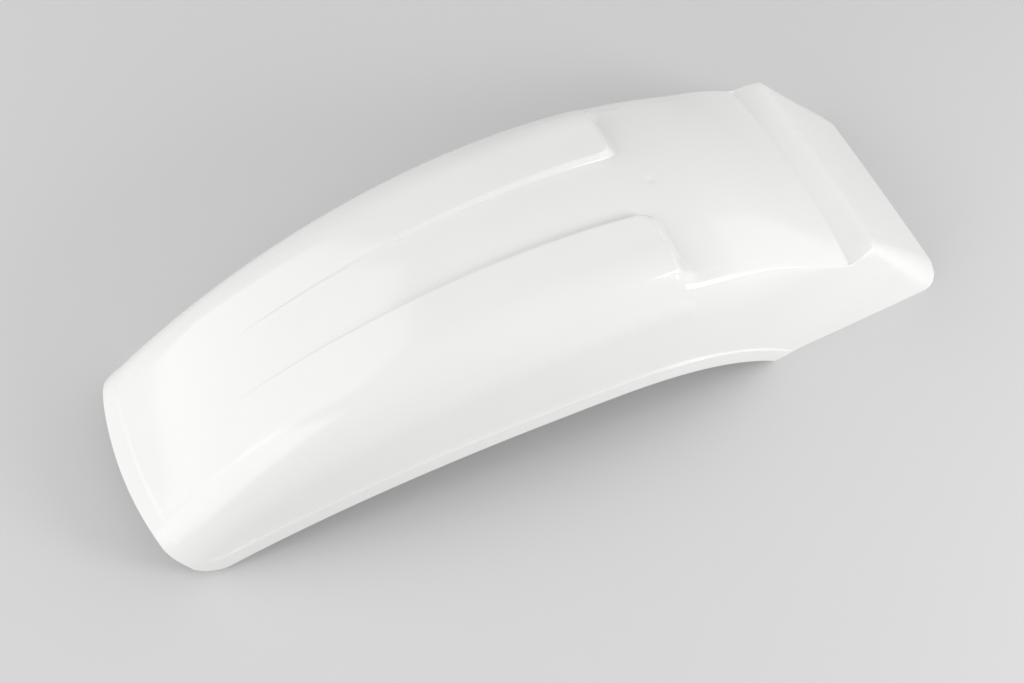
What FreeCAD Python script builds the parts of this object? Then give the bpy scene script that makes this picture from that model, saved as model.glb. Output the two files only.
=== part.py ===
import FreeCAD, Part
import os
from math import asin, cos, radians, sin, sqrt, tan

# Rear fender of a dirt bike: one moulded plastic shell of even wall that arches over the wheel.
# While it is modelled, x runs from the tail tip to the front edge, y runs across it
# and z is the height over the surface that it lies on. At the end the origin goes under the middle.

# Overall form
length = 620.0              # tail tip to front edge
wall = 3.0                  # thickness of the moulded wall
apex_x = 314.0              # top of the arch, from the tail tip
apex_height = 152.0
tail_height = 31.0          # crown line at the tail tip
widest_x = 357.0
mid_half_width = 100.5      # outside of the side walls at the surface, where they are widest
tail_half_width = 83.0      # the same at the tail tip
front_half_width = 93.0     # the same at the front edge
mid_draft = 4.7             # degrees that the side walls lean in
tail_draft = 7.7
front_draft = 10.5
crown_radius = 530.0        # roundness of the top, seen from behind
tail_shoulder = 43.0        # radius between top and side wall, at the tail
deck_shoulder = 41.0        # the same radius just behind the collar

# Front collar and apron, placed from the front edge
apron_run = 76.0            # front edge to the ridge
ridge_height = 81.5
ramp_run = 22.0             # ridge to the crease where the deck ends
ramp_trim = 0.4             # the ramp passes this far under the ridge and so meets the apron
collar_run = 60.0           # crease back to where the shoulder starts to tighten
collar_shoulder = 7.0
corner_shoulder = 20.0      # the apron's shoulder at the front corners
apron_crown_radius = 4000.0

# Ribs, the channel between them and the sunken deck
fade_x = 100.0              # the channel starts here, at nothing
deck_run = 136.0            # crease back to the ends of the ribs
deck_depth = 5.5
deck_crown_radius = 255.0   # roundness of the deck, seen from behind
channel_half_width_fade = 21.0
channel_half_width_end = 28.5
rib_corner_radius = 6.0     # inner front corner of a rib, seen from above
rib_foot = 4.0              # slope at the foot of the ribs, as wide as high
dimple_gap = 16.0           # drilling mark in front of the ribs' ends
dimple_radius = 4.5
dimple_depth = 1.2

# Rim band along the lower edges and round the tail
rim_height = 14.0
rim_proud = 1.2
rim_apex_x = 282.0          # the lower edge is highest here
rim_apex_height = 42.5
rim_tail_run = 246.0        # from there back to where the tail meets the surface
rim_touch_run = 137.0       # front edge back to where the band runs out
tail_band = 12.5

# Tail, seen from above
tail_radius = 290.0
tail_corner_radius = 30.0
tail_corner_room = 1.9      # the corner's arc ends this far outside the wall

# How far the bodies that form or cut the shell run past it
overrun = 25.0
spare = 60.0

ridge_x = length - apron_run
crease_x = ridge_x - ramp_run
collar_x = crease_x - collar_run
rib_end_x = crease_x - deck_run
rim_touch_x = length - rim_touch_run
across = 2 * mid_half_width
axis_x = FreeCAD.Vector(1, 0, 0)
axis_y = FreeCAD.Vector(0, 1, 0)
axis_z = FreeCAD.Vector(0, 0, 1)


def arc_radius(run, rise):
    """Radius of an arc that is level at one end and drops by rise over run."""
    return (run ** 2 + rise ** 2) / (2 * rise)


rear_arch_radius = arc_radius(apex_x, apex_height - tail_height)
front_arch_radius = arc_radius(ridge_x - apex_x, apex_height - ridge_height)


def crown_height(x):
    """Height of the crown line: two arcs that meet level at the apex, then the straight apron."""
    if x > ridge_x:
        return ridge_height * (length - x) / apron_run
    radius = rear_arch_radius if x < apex_x else front_arch_radius
    return apex_height - radius + sqrt(radius ** 2 - (x - apex_x) ** 2)


def steepness(x):
    """Upright thickness of the sloping wall over its true thickness."""
    if x > ridge_x:
        return sqrt(1 + (ridge_height / apron_run) ** 2)
    radius = rear_arch_radius if x < apex_x else front_arch_radius
    return radius / sqrt(radius ** 2 - (x - apex_x) ** 2)


def half_width(x):
    """Half of the width at the surface, along a curve that bulges between the two ends."""
    if x < widest_x:
        return mid_half_width - (mid_half_width - tail_half_width) * (1 - x / widest_x) ** 2
    share = (x - widest_x) / (length - widest_x)
    return mid_half_width - (mid_half_width - front_half_width) * share ** 2


def draft(x):
    share = 2 * x / length - 1
    end_draft = tail_draft if share < 0 else front_draft
    return radians(mid_draft + (end_draft - mid_draft) * share ** 2)


def shoulder_radius(x):
    if x > ridge_x:
        return collar_shoulder + (corner_shoulder - collar_shoulder) * (x - ridge_x) / apron_run
    if x > crease_x:
        return collar_shoulder
    if x > collar_x:
        return deck_shoulder + (collar_shoulder - deck_shoulder) * (x - collar_x) / collar_run
    return tail_shoulder + (deck_shoulder - tail_shoulder) * x / collar_x


def top_radius(x):
    """Roundness of the top, seen from behind: even along the body, flatter from the collar on."""
    share = min(1.0, max(0.0, (x - collar_x) / (ridge_x - collar_x)))
    return 1 / ((1 - share) / crown_radius + share / apron_crown_radius)


def section(x, inset):
    """Closed cross-section at x: crown arc, shoulder arcs and leaning walls, inside the outer skin."""
    lean = sin(draft(x))
    rise = cos(draft(x))
    crown = top_radius(x) - inset
    shoulder = shoulder_radius(x) - inset
    foot = half_width(x) - inset / rise
    top = crown_height(x) - inset * steepness(x)
    base = top - crown

    # A shoulder's centre lies one radius inside the wall, and inside the crown arc about the base.
    start_y = foot - shoulder * rise
    start_z = -shoulder * lean - base
    half = rise * start_z - lean * start_y
    along = -half + sqrt(half ** 2 - start_y ** 2 - start_z ** 2 + (crown - shoulder) ** 2)
    centre_y = start_y - along * lean
    centre_z = start_z + along * rise
    blend_y = centre_y * crown / (crown - shoulder)
    blend_z = centre_z * crown / (crown - shoulder)
    wall_y = centre_y + shoulder * rise
    wall_z = centre_z + shoulder * lean
    chord_y = (blend_y + wall_y) / 2 - centre_y
    chord_z = (blend_z + wall_z) / 2 - centre_z
    stretch = shoulder / sqrt(chord_y ** 2 + chord_z ** 2)
    bend_y = centre_y + chord_y * stretch
    bend_z = centre_z + chord_z * stretch
    low = -spare - inset
    low_y = foot - low * tan(draft(x))

    def at(y, z):
        return FreeCAD.Vector(x, y, z)

    def shoulder_points(side):
        points = ((blend_y, blend_z), (bend_y, bend_z), (wall_y, wall_z))
        return [at(side * y, base + z) for y, z in points]

    left_blend, left_bend, left_wall = shoulder_points(1)
    right_blend, right_bend, right_wall = shoulder_points(-1)
    curves = [
        Part.Arc(right_blend, at(0, top), left_blend),
        Part.Arc(left_blend, left_bend, left_wall),
        Part.LineSegment(left_wall, at(low_y, low)),
        Part.LineSegment(at(low_y, low), at(-low_y, low)),
        Part.LineSegment(at(-low_y, low), right_wall),
        Part.Arc(right_wall, right_bend, right_blend),
    ]
    return Part.Wire([curve.toShape() for curve in curves])


def full_form(inset, spans=12, ruled=False):
    """The fender's form as a solid block, a given distance inside the outer skin."""
    step = (collar_x + overrun) / spans
    body_stations = [step * number - overrun for number in range(spans)] + [collar_x]
    front_stations = [collar_x + collar_run * number / 4 for number in range(4)]
    front_stations += [crease_x, ridge_x, length + overrun]
    body = Part.makeLoft([section(x, inset) for x in body_stations], True, ruled)
    front = Part.makeLoft([section(x, inset) for x in front_stations], True, True)
    return body.fuse(front)


def floor_point(x, inset):
    """Centre line of the channel's and the deck's floor: the channel deepens towards the deck."""
    depth = deck_depth * min(1.0, (x - fade_x) / (rib_end_x - fade_x))
    return FreeCAD.Vector(x, 0, crown_height(x) - (depth + inset) * steepness(x))


def floor_section(point, curvature):
    """Closed cross-section of the room over the floor, whose bottom is an arc or nearly straight."""
    reach = 0.6 * across
    drop = reach ** 2 * curvature / 2
    ceiling = apex_height + spare
    left = point + FreeCAD.Vector(0, reach, -drop)
    right = point + FreeCAD.Vector(0, -reach, -drop)
    left_top = FreeCAD.Vector(point.x, reach, ceiling)
    right_top = FreeCAD.Vector(point.x, -reach, ceiling)
    curves = [
        Part.Arc(right, point, left),
        Part.LineSegment(left, left_top),
        Part.LineSegment(left_top, right_top),
        Part.LineSegment(right_top, right),
    ]
    return Part.Wire([curve.toShape() for curve in curves])


def floor_form(inset):
    """All that lies over the channel, the deck and its front ramp, which flattens towards the ridge."""
    round_top = 1 / deck_crown_radius
    channel_step = (rib_end_x - fade_x + spare) / 4
    deck_step = deck_run / 4
    stations = [fade_x - spare + channel_step * number for number in range(4)]
    stations += [rib_end_x + deck_step * number for number in range(5)]
    sections = [floor_section(floor_point(x, inset), round_top) for x in stations]
    crease = floor_point(crease_x, inset)
    ridge = FreeCAD.Vector(ridge_x, 0, ridge_height - ramp_trim - inset * steepness(ridge_x))
    ramp_end = crease + (ridge - crease) * 1.3
    round_end = round_top + (1 / apron_crown_radius - round_top) * 1.3
    ramp = Part.makeLoft([floor_section(crease, round_top), floor_section(ramp_end, round_end)], True, True)
    return Part.makeLoft(sections, True, False).fuse(ramp)


def rib_block(side, inset):
    """Upright block that keeps one rib standing: the channel's wall, a round corner and the end wall."""
    start_x = fade_x - 2 * spare
    end_x = rib_end_x - inset
    taper = (channel_half_width_end - channel_half_width_fade) / (rib_end_x - fade_x)
    start_y = channel_half_width_end - taper * (rib_end_x - start_x) + inset
    end_y = channel_half_width_end + inset
    corners = [
        FreeCAD.Vector(start_x, side * start_y, -spare),
        FreeCAD.Vector(end_x, side * end_y, -spare),
        FreeCAD.Vector(end_x, side * across, -spare),
        FreeCAD.Vector(start_x, side * across, -spare),
    ]
    height = apex_height + 3 * spare
    block = Part.Face(Part.makePolygon(corners + corners[:1])).extrude(axis_z * height)
    corner_middle = corners[1] + axis_z * (height / 2)
    inner_corner = [edge for edge in block.Edges if edge.CenterOfMass.distanceToPoint(corner_middle) < wall]
    return block.makeFillet(rib_corner_radius, inner_corner)


def recess(inset):
    """What the channel and the deck take out of the form, with a sloping foot along the ribs."""
    room = floor_form(inset)
    for side in (-1, 1):
        room = room.cut(rib_block(side, inset))
    foot = []
    for edge in room.Edges:
        middle = edge.CenterOfMass
        box = edge.BoundBox
        near_floor = abs(middle.z - floor_point(middle.x, inset).z) < spare / 2
        beside_rib = box.XMax < rib_end_x + rib_foot
        upright = box.ZLength > 0.99 * edge.Length
        at_start = box.XMax < fade_x
        if near_floor and beside_rib and not upright and not at_start:
            foot.append(edge)
    return room.makeChamfer(rib_foot + inset * (2 - sqrt(2)), foot)


def lower_curve(lift):
    """Lower edge of the side walls, seen from the side: an arc from the tail, then a cubic to the front."""
    radius = arc_radius(rim_tail_run, rim_apex_height)
    top = rim_apex_height + lift

    def on_arc(x):
        return FreeCAD.Vector(x, 0, top - radius + sqrt(radius ** 2 - (rim_apex_x - x) ** 2))

    rear = Part.Arc(on_arc(-overrun), on_arc((rim_apex_x - overrun) / 2), on_arc(rim_apex_x))
    third = (rim_touch_x - rim_apex_x) / 3
    front = Part.BezierCurve()
    front.setPoles(
        [FreeCAD.Vector(rim_apex_x + third * number, 0, top) for number in range(3)]
        + [FreeCAD.Vector(rim_touch_x, 0, lift - rim_height)]
    )
    return rear.toShape(), front.toShape()


def under_curve(lift):
    """Everything under the lower edge raised by a lift, wider than the fender."""
    rear, front = lower_curve(lift)
    start = rear.Vertexes[0].Point
    end = front.Vertexes[-1].Point
    depth = -2 * spare
    corners = [end, FreeCAD.Vector(end.x, 0, depth), FreeCAD.Vector(start.x, 0, depth), start]
    edges = [rear, front] + [Part.LineSegment(a, b).toShape() for a, b in zip(corners, corners[1:])]
    face = Part.Face(Part.Wire(edges))
    face.translate(axis_y * -across)
    return face.extrude(axis_y * 2 * across)


def behind_band():
    """Everything behind the step that runs across the tail, a band's width from its edge."""
    radius = tail_radius
    turn = asin(0.6 * across / radius)

    def on_step(angle):
        return FreeCAD.Vector(tail_band + radius * (1 - cos(angle)), radius * sin(angle), -spare)

    ends = [on_step(turn), on_step(-turn)]
    corners = [
        ends[0],
        FreeCAD.Vector(-2 * overrun, ends[0].y, -spare),
        FreeCAD.Vector(-2 * overrun, ends[1].y, -spare),
        ends[1],
    ]
    edges = [Part.Arc(ends[1], on_step(0), ends[0]).toShape()]
    edges += [Part.LineSegment(a, b).toShape() for a, b in zip(corners, corners[1:])]
    return Part.Face(Part.Wire(edges)).extrude(axis_z * (apex_height + spare))


def inside_outline():
    """Upright block with the tail's outline: a wide arc with rounded corners."""
    corner = tail_corner_radius
    reach = half_width(corner) + tail_corner_room
    turn = asin((reach - corner) / (tail_radius - corner))
    bend = (turn + radians(90)) / 2
    centre_x = tail_radius - (tail_radius - corner) * cos(turn)
    front_x = length + overrun

    def corner_point(side, angle):
        y = side * (reach - corner + corner * sin(angle))
        return FreeCAD.Vector(centre_x - corner * cos(angle), y, -spare)

    def side_points(side):
        return [corner_point(side, angle) for angle in (turn, bend, radians(90))]

    left = side_points(1)
    right = side_points(-1)
    corners = [
        left[2],
        FreeCAD.Vector(left[2].x, across, -spare),
        FreeCAD.Vector(front_x, across, -spare),
        FreeCAD.Vector(front_x, -across, -spare),
        FreeCAD.Vector(right[2].x, -across, -spare),
        right[2],
    ]
    edges = [
        Part.Arc(right[0], FreeCAD.Vector(0, 0, -spare), left[0]).toShape(),
        Part.Arc(*left).toShape(),
    ]
    edges += [Part.LineSegment(a, b).toShape() for a, b in zip(corners, corners[1:])]
    edges.append(Part.Arc(*reversed(right)).toShape())
    return Part.Face(Part.Wire(edges)).extrude(axis_z * (apex_height + 2 * spare))


def dimple():
    """Cone that leaves the shallow drilling mark on the centre line, square to the sloping floor."""
    x = rib_end_x + dimple_gap
    slope = floor_point(x + dimple_radius, 0) - floor_point(x - dimple_radius, 0)
    outward = FreeCAD.Vector(-slope.z, 0, slope.x).normalize()
    tip = floor_point(x, 0) - outward * dimple_depth
    return Part.makeCone(0, 2 * dimple_radius, 2 * dimple_depth, tip, outward)


def make_shell():
    outer = full_form(0).cut(recess(0)).cut(dimple())
    inner = full_form(wall, 24, True).cut(recess(wall))
    proud = full_form(-rim_proud)
    rim = proud.common(under_curve(rim_height).fuse(behind_band()))
    shell = outer.fuse(rim).cut(inner)
    shell = shell.cut(under_curve(0)).common(inside_outline())
    ground = Part.makeBox(2 * length, 2 * across, 2 * spare, FreeCAD.Vector(-overrun, -across, -2 * spare))
    return shell.cut(ground)


fender = make_shell()
fender.translate(axis_x * (-length / 2))
os.makedirs("parts", exist_ok=True)
fender.exportStep("parts/rear_fender.step")
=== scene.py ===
import math
from collections import namedtuple

import bmesh
import bpy
from mathutils import Matrix, Vector


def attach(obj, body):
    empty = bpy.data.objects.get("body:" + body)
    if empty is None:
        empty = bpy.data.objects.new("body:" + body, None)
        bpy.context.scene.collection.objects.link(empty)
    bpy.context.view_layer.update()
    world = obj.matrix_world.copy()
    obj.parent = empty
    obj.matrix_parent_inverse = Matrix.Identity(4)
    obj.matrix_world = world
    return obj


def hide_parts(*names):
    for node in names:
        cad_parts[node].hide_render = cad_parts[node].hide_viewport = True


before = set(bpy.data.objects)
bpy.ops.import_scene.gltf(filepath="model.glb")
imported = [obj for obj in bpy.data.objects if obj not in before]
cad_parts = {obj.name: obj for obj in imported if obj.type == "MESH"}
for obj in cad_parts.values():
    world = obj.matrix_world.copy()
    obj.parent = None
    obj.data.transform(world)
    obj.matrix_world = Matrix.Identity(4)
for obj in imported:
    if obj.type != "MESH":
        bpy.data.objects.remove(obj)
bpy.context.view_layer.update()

# Fender shell: one piece of white polypropylene, injection moulded with an even 3 mm wall. A flat slab of
# quads is laid out along it, and each point is moved to its place on the arched, ribbed and sunken form.
# Sizes are millimetres, and x runs from the tail tip to the front edge until a point is placed.
MM_PER_METRE = 1000
LENGTH = 620.0
WALL = 3.0
APEX_X, APEX_HEIGHT = 314.0, 152.0
TAIL_HEIGHT = 31.0
RIDGE_X, RIDGE_HEIGHT = 544.0, 81.5
CREASE_X = 522.0
COLLAR_X = 462.0
FADE_X, RIB_END_X = 100.0, 386.0


def soft_step(low, high, value):
    share = min(1.0, max(0.0, (value - low) / (high - low)))
    return share * share * (3 - 2 * share)


def arch_radius(x):
    run = APEX_X if x < APEX_X else RIDGE_X - APEX_X
    rise = APEX_HEIGHT - (TAIL_HEIGHT if x < APEX_X else RIDGE_HEIGHT)
    return (run * run + rise * rise) / (2 * rise)


def crown_height(x):
    """Height of the centre line: two arcs that meet at the apex, then the straight apron."""
    if x > RIDGE_X:
        return RIDGE_HEIGHT * (LENGTH - x) / (LENGTH - RIDGE_X)
    radius = arch_radius(x)
    return APEX_HEIGHT - radius + math.sqrt(radius * radius - (x - APEX_X) ** 2)


def steepness(x):
    """How much longer a wall is when it is measured upright than when it is measured square to the skin."""
    if x > RIDGE_X:
        return math.hypot(1, RIDGE_HEIGHT / (LENGTH - RIDGE_X))
    radius = arch_radius(x)
    return radius / math.sqrt(radius * radius - (x - APEX_X) ** 2)


WIDEST_X = 357.0
TAIL_HALF_WIDTH, WIDEST_HALF_WIDTH, FRONT_HALF_WIDTH = 83.0, 100.5, 93.0


def half_width(x):
    end, span = (TAIL_HALF_WIDTH, WIDEST_X) if x < WIDEST_X else (FRONT_HALF_WIDTH, LENGTH - WIDEST_X)
    return WIDEST_HALF_WIDTH - (WIDEST_HALF_WIDTH - end) * ((x - WIDEST_X) / span) ** 2


# Draft angles of the side walls, in degrees.
TAIL_DRAFT, MIDDLE_DRAFT, FRONT_DRAFT = 7.7, 4.7, 10.5


def draft(x):
    share = 2 * x / LENGTH - 1
    end = TAIL_DRAFT if share < 0 else FRONT_DRAFT
    return math.radians(MIDDLE_DRAFT + (end - MIDDLE_DRAFT) * share * share)


# The shoulder tightens at the collar and opens again towards the apron's front corners.
TAIL_SHOULDER, DECK_SHOULDER, COLLAR_SHOULDER, CORNER_SHOULDER = 43.0, 41.0, 7.0, 28.0
COLLAR_BLEND = 6.0
CORNER_GROWTH = 0.7


def shoulder_radius(x):
    if x > RIDGE_X:
        share = (x - RIDGE_X) / (LENGTH - RIDGE_X)
        return COLLAR_SHOULDER + (CORNER_SHOULDER - COLLAR_SHOULDER) * share ** CORNER_GROWTH
    body = TAIL_SHOULDER + (DECK_SHOULDER - TAIL_SHOULDER) * x / COLLAR_X
    return body + (COLLAR_SHOULDER - body) * soft_step(COLLAR_X - COLLAR_BLEND, CREASE_X + COLLAR_BLEND, x)


CROWN_RADIUS, APRON_CROWN_RADIUS = 530.0, 4000.0
Section = namedtuple("Section", "crown base centre_y centre_z shoulder first last")


def section(x, inset):
    """Crown radius and its base, shoulder centre and radius, and the shoulder's two end angles."""
    lean, rise = math.sin(draft(x)), math.cos(draft(x))
    flatness = min(1.0, max(0.0, (x - COLLAR_X) / (RIDGE_X - COLLAR_X)))
    crown = 1 / (1 / CROWN_RADIUS + (1 / APRON_CROWN_RADIUS - 1 / CROWN_RADIUS) * flatness) - inset
    shoulder = shoulder_radius(x) - inset
    base = crown_height(x) - inset * steepness(x) - crown
    start_y = half_width(x) - inset / rise - shoulder * rise
    start_z = -shoulder * lean - base
    half = rise * start_z - lean * start_y
    along = -half + math.sqrt(half * half - start_y ** 2 - start_z ** 2 + (crown - shoulder) ** 2)
    centre_y, centre_z = start_y - along * lean, start_z + along * rise
    first, last = math.atan2(centre_y, centre_z), math.pi / 2 - draft(x)
    return Section(crown, base, centre_y, base + centre_z, shoulder, first, last)


# The deck dips towards the crease and grows flatter across as it does.
DECK_DEPTH, DECK_CROWN_RADIUS = 5.5, 255.0
DIP_X, CREASE_DIP, DIP_FLATTENING = 455.0, 4.5, 0.36


def floor_height(x, y, inset):
    """Height of the channel's, the deck's and the ramp's floor; the ramp flattens towards the ridge."""
    at = min(x, CREASE_X)
    dip = soft_step(DIP_X, CREASE_X, at)
    depth = DECK_DEPTH * min(1.0, (at - FADE_X) / (RIB_END_X - FADE_X)) + CREASE_DIP * dip
    side_fall = y * y / (2 * DECK_CROWN_RADIUS) * (1 - DIP_FLATTENING * dip)
    floor = crown_height(at) - (depth + inset) * steepness(at) - side_fall
    if x < CREASE_X:
        return floor
    ridge = RIDGE_HEIGHT - inset * steepness(RIDGE_X) - y * y / (2 * APRON_CROWN_RADIUS)
    return floor + (ridge - floor) * (x - CREASE_X) / (RIDGE_X - CREASE_X)


TAIL_CHANNEL, FRONT_CHANNEL = 21.0, 28.5


def channel_half_width(x):
    return TAIL_CHANNEL + (FRONT_CHANNEL - TAIL_CHANNEL) * (x - FADE_X) / (RIB_END_X - FADE_X)


# A rib's foot is short beside the channel, longer in front and longest at the outer front corner.
RIB_CORNER = 6.0
RIB_FOOT, FRONT_FOOT, CORNER_FOOT = 3.2, 5.0, 13.0
CORNER_FOOT_Y, CORNER_FOOT_FULL_Y = 64.0, 78.0
NEARLY_ZERO = 1e-9


def rib_distance(x, y, inset):
    """How far a point lies outside a rib, seen from above, and how long the rib's foot is there."""
    ahead = x - (RIB_END_X - inset) + RIB_CORNER
    beside = channel_half_width(x) + inset - y + RIB_CORNER
    outside = math.hypot(max(ahead, 0), max(beside, 0)) + min(max(ahead, beside), 0) - RIB_CORNER
    frontal = max(ahead, 0) ** 2 / max(NEARLY_ZERO, max(ahead, 0) ** 2 + max(beside, 0) ** 2)
    widened = FRONT_FOOT + CORNER_FOOT * soft_step(CORNER_FOOT_Y, CORNER_FOOT_FULL_Y, y)
    return outside, RIB_FOOT + inset + widened * frontal


# The ribs' upper edges are rounded by this drop and width, less so where a rib is lower than this height.
RIB_EDGE_DROP, RIB_EDGE_WIDTH, RIB_EDGE_HEIGHT = 0.3, 1.5, 2.0
FLOOR_BLEND = 0.5


def recess(x, y, z, inset):
    """How far the channel and the deck sink below the form, with rounded edges and rib feet."""
    away, foot = rib_distance(x, y, inset)
    fall = z - floor_height(x, y, inset)
    fall = (fall + math.hypot(fall, FLOOR_BLEND)) / 2
    edge_share = min(1.0, fall / RIB_EDGE_HEIGHT)
    if away <= 0:
        return RIB_EDGE_DROP * max(0.0, 1 + away / RIB_EDGE_WIDTH) ** 2 * edge_share
    share = min(1.0, away / foot)
    return min(fall, RIB_EDGE_DROP * edge_share + fall * math.sqrt(1 - (1 - share) ** 2))


def on_side(x, inset, run):
    """Point and outward direction at a run down from where the shoulder begins, onto the side wall."""
    cut = section(x, inset)
    turn = min(cut.last, cut.first + run / cut.shoulder)
    beyond = max(0.0, run - (cut.last - cut.first) * cut.shoulder)
    out_y, out_z = math.sin(turn), math.cos(turn)
    y = cut.centre_y + cut.shoulder * out_y + beyond * out_z
    return y, cut.centre_z + cut.shoulder * out_z - beyond * out_y, out_y, out_z


def side_run(x, inset, height):
    """Run at which the side has come down to a height."""
    cut = section(x, inset)
    wall_z = cut.centre_z + cut.shoulder * math.cos(cut.last)
    if height < wall_z:
        return (cut.last - cut.first) * cut.shoulder + (wall_z - height) / math.sin(cut.last)
    return (math.acos(min(1.0, (height - cut.centre_z) / cut.shoulder)) - cut.first) * cut.shoulder


LONGEST_RUN = 100.0
DECK_HALVINGS = 24


def deck_edge(x, inset):
    """Run at which the deck's floor meets the side, found by halving."""
    low, high = 0.0, LONGEST_RUN
    for _ in range(DECK_HALVINGS):
        run = (low + high) / 2
        y, z, _, _ = on_side(x, inset, run)
        if z > floor_height(x, y, inset):
            low = run
        else:
            high = run
    return low


# The toe's arc runs from TOE_AHEAD in front of its lowest point to TOE_BEHIND at its back, and goes on
# straight up to TOE_TOP. At RIM_END_X the whole height of the rim band has sunk below the ground.
RIM_HEIGHT = 14.0
RIM_APEX_X, RIM_APEX_HEIGHT = 282.0, 42.5
RIM_TAIL_RUN, RIM_END_X = 246.0, 483.0
TOE_X, TOE_RADIUS, TOE_CLEARANCE = 38.7, 18.0, 2.1
TOE_AHEAD, TOE_BEHIND, TOE_TOP = 6.2, 12.7, 12.5


def lower_edge(x):
    """Lower edge of the side walls: a round toe at the tail, an arc, then a curve to the ground in front."""
    toe = TOE_X - x
    if toe > -TOE_AHEAD:
        arc = TOE_RADIUS - math.sqrt(TOE_RADIUS ** 2 - min(toe, TOE_BEHIND) ** 2)
        rise = arc + max(0.0, toe - TOE_BEHIND)
        return min(TOE_TOP, TOE_CLEARANCE + rise)
    if x < RIM_APEX_X:
        radius = (RIM_TAIL_RUN ** 2 + RIM_APEX_HEIGHT ** 2) / (2 * RIM_APEX_HEIGHT)
        return RIM_APEX_HEIGHT - radius + math.sqrt(radius * radius - (RIM_APEX_X - x) ** 2)
    share = (x - RIM_APEX_X) / (RIM_END_X - RIM_APEX_X)
    return max(-RIM_HEIGHT, RIM_APEX_HEIGHT - (RIM_APEX_HEIGHT + RIM_HEIGHT) * share ** 3)


TAIL_RADIUS, TAIL_CORNER, TAIL_REACH = 280.0, 28.0, 86.8


def tail_edge(y):
    """Outline of the tail seen from above: a wide arc with a round corner on each side."""
    turn = math.asin((TAIL_REACH - TAIL_CORNER) / (TAIL_RADIUS - TAIL_CORNER))
    if abs(y) < TAIL_REACH - TAIL_CORNER + TAIL_CORNER * math.sin(turn):
        return TAIL_RADIUS - math.sqrt(TAIL_RADIUS ** 2 - y * y)
    centre = TAIL_RADIUS - (TAIL_RADIUS - TAIL_CORNER) * math.cos(turn)
    return centre - math.sqrt(TAIL_CORNER ** 2 - min(TAIL_CORNER, abs(y) - TAIL_REACH + TAIL_CORNER) ** 2)


def spread(stops, index):
    """Value at an index between stops, each an index and its value."""
    for (low, start), (high, end) in zip(stops, stops[1:]):
        if index <= high:
            return start + (end - start) * (index - low) / (high - low)
    return stops[-1][1]


# The rows are close together at the tail's lip, the ribs' ends and the collar, and pass the front edge.
row_stops = (
    (0, 0), (8, 10.5), (16, 15.5), (32, 80),
    (92, RIB_END_X - 10), (96, RIB_END_X - 2), (116, RIB_END_X + 12), (124, RIB_END_X + 22),
    (156, CREASE_X - 10), (165, CREASE_X), (185, RIDGE_X), (190, RIDGE_X + 6),
    (202, LENGTH - 14), (208, LENGTH + 14))
rows = row_stops[-1][0]
shoulder_column, half_columns = 38, 100


def crown_place(index, wall_y, shoulder_y):
    """Distance of a column from the centre line; the columns are close together at the channel's wall."""
    stops = (
        (0, 0), (12, wall_y - 7), (20, wall_y - 2), (28, wall_y + 0.4), (30, wall_y + 2),
        (shoulder_column, shoulder_y))
    return spread(stops, index)


def side_place(index, deck, band, low):
    """Run of a column down the side; the columns are close together at the deck and the rim band's step."""
    stops = (
        (shoulder_column, 0), (44, max(0.25 * deck, deck - 19)), (62, deck),
        (83, max(deck + 1, band - 2)), (86, max(deck + 1.5, band - 0.7)), (92, max(deck + 2, band + 0.7)),
        (98, max(deck + 2.4, low - 3.6)), (half_columns, max(deck + 3, low)))
    return spread(stops, index)


# The rows bend to the tail's outline over this run, and a row's end is looked for within this reach.
TAIL_RUN, END_REACH = 90.0, 36.0
END_HALVINGS = 20


def tail_share(row_x):
    """How much of the tail's outline a row follows: all at the lip, none past the tail's run."""
    return max(0.0, 1 - row_x / TAIL_RUN) ** 2


def row_end(row_x, inset):
    """Where a row comes to the lower edge, found by halving."""
    near_x, far_x = row_x, row_x + END_REACH * tail_share(row_x)
    for _ in range(END_HALVINGS):
        x = (near_x + far_x) / 2
        y, _, out_y, _ = on_side(x, inset, side_run(x, inset, lower_edge(x)))
        if row_x + tail_edge(y + inset * out_y) * tail_share(row_x) > x:
            near_x = x
        else:
            far_x = x
    return x


LEAST_DECK_RUN = 13.0
edge_runs, row_ends = {}, {}
row_places = [spread(row_stops, row) for row in range(rows + 1)]
for inset in (0.0, WALL):
    deck_runs = [deck_edge(min(RIDGE_X, max(FADE_X, row_x)), inset) for row_x in row_places]
    edge_runs[inset] = [max(LEAST_DECK_RUN, run) for run in deck_runs]
    row_ends[inset] = [row_end(row_x, inset) for row_x in row_places]

# Each rib rises to its outer front corner, and the lift dies away down the shoulder.
RIB_LIFT, LIFT_CURVE = 2.6, 1.6
LIFT_X, LIFT_FULL_X, LIFT_END_X = 290.0, 384.0, 395.0
LIFT_Y, LIFT_FULL_Y, LIFT_END_Y = 46.0, 72.0, 84.0


def rib_lift(x, y):
    if x >= LIFT_END_X:
        return 0.0
    outwards = max(0.0, min(1.0, (y - LIFT_Y) / (LIFT_FULL_Y - LIFT_Y))) ** LIFT_CURVE
    lift = outwards * soft_step(LIFT_END_Y, LIFT_FULL_Y, y)
    return RIB_LIFT * lift * soft_step(LIFT_X, LIFT_FULL_X, x)


# The rim band stands proud along the sides, runs out at both ends and is fainter across the tail.
RIM_PROUD, RIM_STEP, TAIL_BAND_SHARE = 1.5, 0.45, 0.3
RIM_FRONT_FADE, RIM_TAIL_FADE, TAIL_BAND_FADE = (490.0, 470.0), (26.0, 46.0), (14.5, 10.5)


def rim_proud(x, z, row_x):
    crease = lower_edge(max(x, TOE_X)) + RIM_HEIGHT
    below_crease = soft_step(RIM_STEP, -RIM_STEP, z - crease)
    side_band = below_crease * soft_step(*RIM_FRONT_FADE, x) * soft_step(*RIM_TAIL_FADE, x)
    tail_band = TAIL_BAND_SHARE * soft_step(*TAIL_BAND_FADE, row_x)
    return RIM_PROUD * max(side_band, tail_band)


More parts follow.
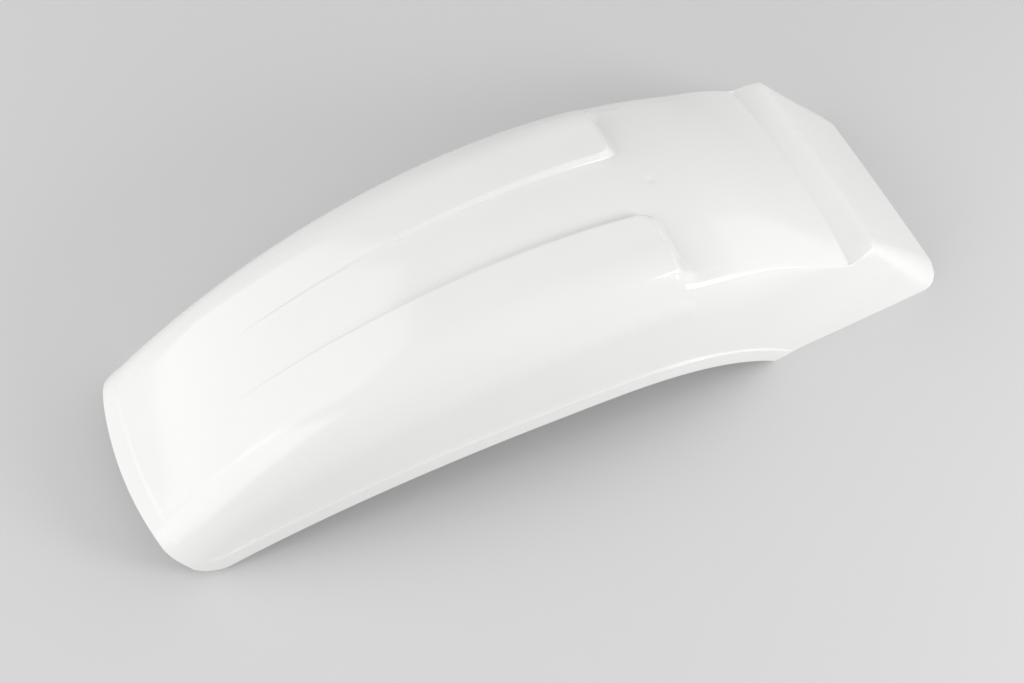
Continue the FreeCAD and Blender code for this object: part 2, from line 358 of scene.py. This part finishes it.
# A shallow round dimple in the deck, on the centre line in front of the channel.
DIMPLE_X, DIMPLE_RADIUS, DIMPLE_DEPTH = 402.0, 4.5, 1.0


def dimple(x, y):
    return DIMPLE_DEPTH * max(0.0, 1 - ((x - DIMPLE_X) ** 2 + y * y) / DIMPLE_RADIUS ** 2) ** 2


# Least runs kept for the columns on the rim band, the wall above it and the shoulder. The deck's columns
# end a margin past its edge.
LEAST_BAND, LEAST_WALL, LEAST_SHOULDER = 9.0, 8.0, 3.0
DECK_MARGIN = 7.0
TAIL_REPEATS = 6


def skin_point(row, column, inset):
    """Place of one point of the slab on the outside (inset 0) or the inside of the fender, in metres."""
    row_x = row_places[row]
    side, index = math.copysign(1, column), abs(column)
    end_x = row_ends[inset][row]
    low = side_run(end_x, inset, lower_edge(end_x))
    band = min(low - LEAST_BAND, side_run(end_x, inset, lower_edge(max(end_x, TOE_X)) + RIM_HEIGHT))
    deck = max(LEAST_SHOULDER, min(edge_runs[inset][row] + DECK_MARGIN, band - LEAST_WALL))
    x = row_x
    for _ in range(TAIL_REPEATS if row_x < TAIL_RUN else 1):
        if index <= shoulder_column:
            cut = section(x, inset)
            y = crown_place(index, channel_half_width(x) + inset, cut.crown * math.sin(cut.first))
            z = cut.base + math.sqrt(cut.crown * cut.crown - y * y)
            out_y, out_z = y / cut.crown, 1.0
        else:
            y, z, out_y, out_z = on_side(x, inset, side_place(index, deck, band, low))
        x = row_x + tail_edge(y + inset * out_y) * tail_share(row_x)
    if inset == 0:
        z += rib_lift(x, y)
    sunk = recess(x, y, z, inset)
    if inset == 0:
        proud = rim_proud(x, z, row_x)
        y, z = y + proud * out_y, z + proud * out_z - dimple(x, y)
    return Vector((x - LENGTH / 2, side * y, z - sunk)) / MM_PER_METRE


# Edges that are rounded once the points are in place: each strip's rows, columns, passes and axes.
strips = (
    ("deck_edge", (106, 188), (46, 70), 30, "xyz"),
    ("rib_edge", (94, 122), (10, 66), 3, "z"),
    ("rib_foot", (96, 126), (44, 76), 10, "xz"),
    ("ridge", (176, 193), (0, 72), 18, "xz"),
)
strip_points = {name: [] for name, *_ in strips}
# These are in metres and radians. The flat slab is 1 thick.
rim_round, merge_gap = 0.0005, 2e-6
square_angle, crisp_angle = 1.2, 0.7
half_slab = 0.5

shell = bmesh.new()
bmesh.ops.create_grid(shell, x_segments=rows, y_segments=2 * half_columns, size=1.0)
bmesh.ops.solidify(shell, geom=shell.faces[:], thickness=1.0)
rim = [edge for edge in shell.edges if edge.calc_face_angle(0.0) > square_angle
       and abs(edge.verts[0].co.z - edge.verts[1].co.z) < half_slab]
for vert in shell.verts:
    row = round((vert.co.x + 1) / 2 * rows)
    column = round(vert.co.y * half_columns)
    inset = WALL if abs(vert.co.z) > half_slab else 0.0
    vert.co = skin_point(row, column, inset)
    for name, (first_row, last_row), (first_column, last_column), _, _ in strips:
        if first_row <= row <= last_row and first_column <= abs(column) <= last_column:
            strip_points[name].append(vert)
shell.normal_update()
bmesh.ops.bevel(shell, geom=rim, offset=rim_round, offset_type="ABSOLUTE", segments=2, profile=0.5,
                affect="EDGES", material=-1)
for name, _, _, passes, axes in strips:
    for _ in range(passes):
        bmesh.ops.smooth_vert(shell, verts=strip_points[name], factor=0.5, use_axis_x="x" in axes,
                              use_axis_y="y" in axes, use_axis_z="z" in axes)
bmesh.ops.bisect_plane(shell, geom=shell.verts[:] + shell.edges[:] + shell.faces[:], plane_co=(0, 0, 0),
                       plane_no=(0, 0, 1), clear_inner=True)
bmesh.ops.holes_fill(shell, edges=[edge for edge in shell.edges if edge.is_boundary], sides=0)
bmesh.ops.remove_doubles(shell, verts=shell.verts[:], dist=merge_gap)
for face in shell.faces:
    face.smooth = True
for edge in shell.edges:
    edge.smooth = edge.calc_face_angle(0.0) < crisp_angle
fender_mesh = bpy.data.meshes.new("fender_shell")
shell.to_mesh(fender_mesh)
shell.free()
fender = bpy.data.objects.new("fender_shell", fender_mesh)
bpy.context.scene.collection.objects.link(fender)


def colour(hex_value):
    """Linear colour of an sRGB hex value."""
    parts = [int(hex_value[place:place + 2], 16) / 255 for place in (1, 3, 5)]
    return [part / 12.92 if part <= 0.04045 else ((part + 0.055) / 1.055) ** 2.4 for part in parts] + [1.0]


def add_node(tree, kind, links=(), **settings):
    """Adds a node, sets its properties and inputs and links other nodes' outputs to it."""
    node = tree.nodes.new(kind)
    for name, value in settings.items():
        if name.startswith("in_"):
            node.inputs[name[3:].replace("_", " ")].default_value = value
        else:
            setattr(node, name, value)
    for output, name in links:
        tree.links.new(output, node.inputs[name])
    return node


# Moulded polypropylene, gloss white: clear reflections on a smooth skin, a faint cloudiness of the
# colour and the slight waviness that cooling leaves on a large thin wall.
CLOUD_WIDTH, WAVE_WIDTH = 70.0, 18.0
mix_first, mix_second, mix_result = 6, 7, 2
plastic = bpy.data.materials.new("moulded_polypropylene_white")
plastic.use_nodes = True
tree = plastic.node_tree
tree.nodes.clear()
place = add_node(tree, "ShaderNodeTexCoord")
cloud = add_node(
    tree, "ShaderNodeTexNoise", [(place.outputs["Object"], "Vector")],
    in_Scale=MM_PER_METRE / CLOUD_WIDTH, in_Detail=3.0)
tint = add_node(tree, "ShaderNodeMix", [(cloud.outputs["Fac"], "Factor")], data_type="RGBA")
tint.inputs[mix_first].default_value = colour("#F1F1EF")
tint.inputs[mix_second].default_value = colour("#F6F6F5")
gloss = add_node(
    tree, "ShaderNodeMapRange", [(cloud.outputs["Fac"], "Value")],
    in_To_Min=0.12, in_To_Max=0.18)
waves = add_node(
    tree, "ShaderNodeTexNoise", [(place.outputs["Object"], "Vector")],
    in_Scale=MM_PER_METRE / WAVE_WIDTH, in_Detail=2.0)
skin = add_node(
    tree, "ShaderNodeBump", [(waves.outputs["Fac"], "Height")],
    in_Strength=0.05, in_Distance=0.0004)
surface = add_node(
    tree, "ShaderNodeBsdfPrincipled",
    [(tint.outputs[mix_result], "Base Color"), (gloss.outputs["Result"], "Roughness"),
     (skin.outputs["Normal"], "Normal")],
    in_IOR=1.49)
add_node(tree, "ShaderNodeOutputMaterial", [(surface.outputs["BSDF"], "Surface")])
fender_mesh.materials.append(plastic)
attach(fender, "root")
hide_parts("rear_fender")

# Floor: a plain pale table top of matt laminate, one flat sheet that the fender lies on.
# It is wide enough for its edges to stay out of the camera's view.
TABLE_HALF_WIDTH_M = 6.0
bench = bmesh.new()
bmesh.ops.create_grid(bench, x_segments=1, y_segments=1, size=TABLE_HALF_WIDTH_M)
bench_mesh = bpy.data.meshes.new("table_top")
bench.to_mesh(bench_mesh)
bench.free()
table = bpy.data.objects.new("table_top", bench_mesh)
bpy.context.scene.collection.objects.link(table)
laminate = bpy.data.materials.new("matt_laminate_grey")
laminate.use_nodes = True
tree = laminate.node_tree
tree.nodes.clear()
surface = add_node(tree, "ShaderNodeBsdfPrincipled", in_Base_Color=colour("#D8D8D8"), in_Roughness=0.9)
add_node(tree, "ShaderNodeOutputMaterial", [(surface.outputs["BSDF"], "Surface")])
bench_mesh.materials.append(laminate)

# Studio light: a large soft lamp over the tail's far side with a smaller one low on its near side,
# two in front of the collar, and a pale room. Each lamp has its place, its width and its power.
lamp_aim = Vector((0, 0, 0.05))
room_strength = 0.47
for name, place_m, size_m, power in (
    ("lamp_tail_far", (-1.4, 0.7, 1.3), 2.0, 16.4),
    ("lamp_tail_near", (-1.6, -0.6, 0.8), 1.2, 8.0),
    ("lamp_front_near", (0.9, -0.9, 0.6), 0.5, 7.1),
    ("lamp_front", (1.7, -0.2, 0.7), 1.2, 4.6),
):
    lamp = bpy.data.lights.new(name, "AREA")
    lamp.shape, lamp.size, lamp.energy = "SQUARE", size_m, power
    holder = bpy.data.objects.new(name, lamp)
    holder.location = place_m
    holder.rotation_euler = (lamp_aim - Vector(place_m)).to_track_quat("-Z", "Y").to_euler()
    bpy.context.scene.collection.objects.link(holder)
room = bpy.data.worlds.new("pale_room")
room.use_nodes = True
room.node_tree.nodes["Background"].inputs["Color"].default_value = colour("#FFFFFF")
room.node_tree.nodes["Background"].inputs["Strength"].default_value = room_strength
bpy.context.scene.world = room
bpy.context.scene.view_settings.view_transform = "Standard"

# Camera: close above the near side and turned a little towards the tail.
# Its focal length is given in pixels of the image.
camera_place = (-0.24948, -0.51857, 0.96742)
pitch, yaw = math.radians(59.706), math.radians(-24.585)
focal_pixels, image_width = 1500, 1024
back = Vector((math.sin(yaw) * math.cos(pitch), -math.cos(yaw) * math.cos(pitch), math.sin(pitch)))
right = Vector((math.cos(yaw), math.sin(yaw), 0))
lens = bpy.data.cameras.new("camera")
lens.sensor_width = 36.0
lens.lens = lens.sensor_width * focal_pixels / image_width
camera = bpy.data.objects.new("camera", lens)
camera.matrix_world = Matrix.Translation(camera_place) @ Matrix(
    (right, back.cross(right), back)).transposed().to_4x4()
bpy.context.scene.collection.objects.link(camera)
bpy.context.scene.camera = camera
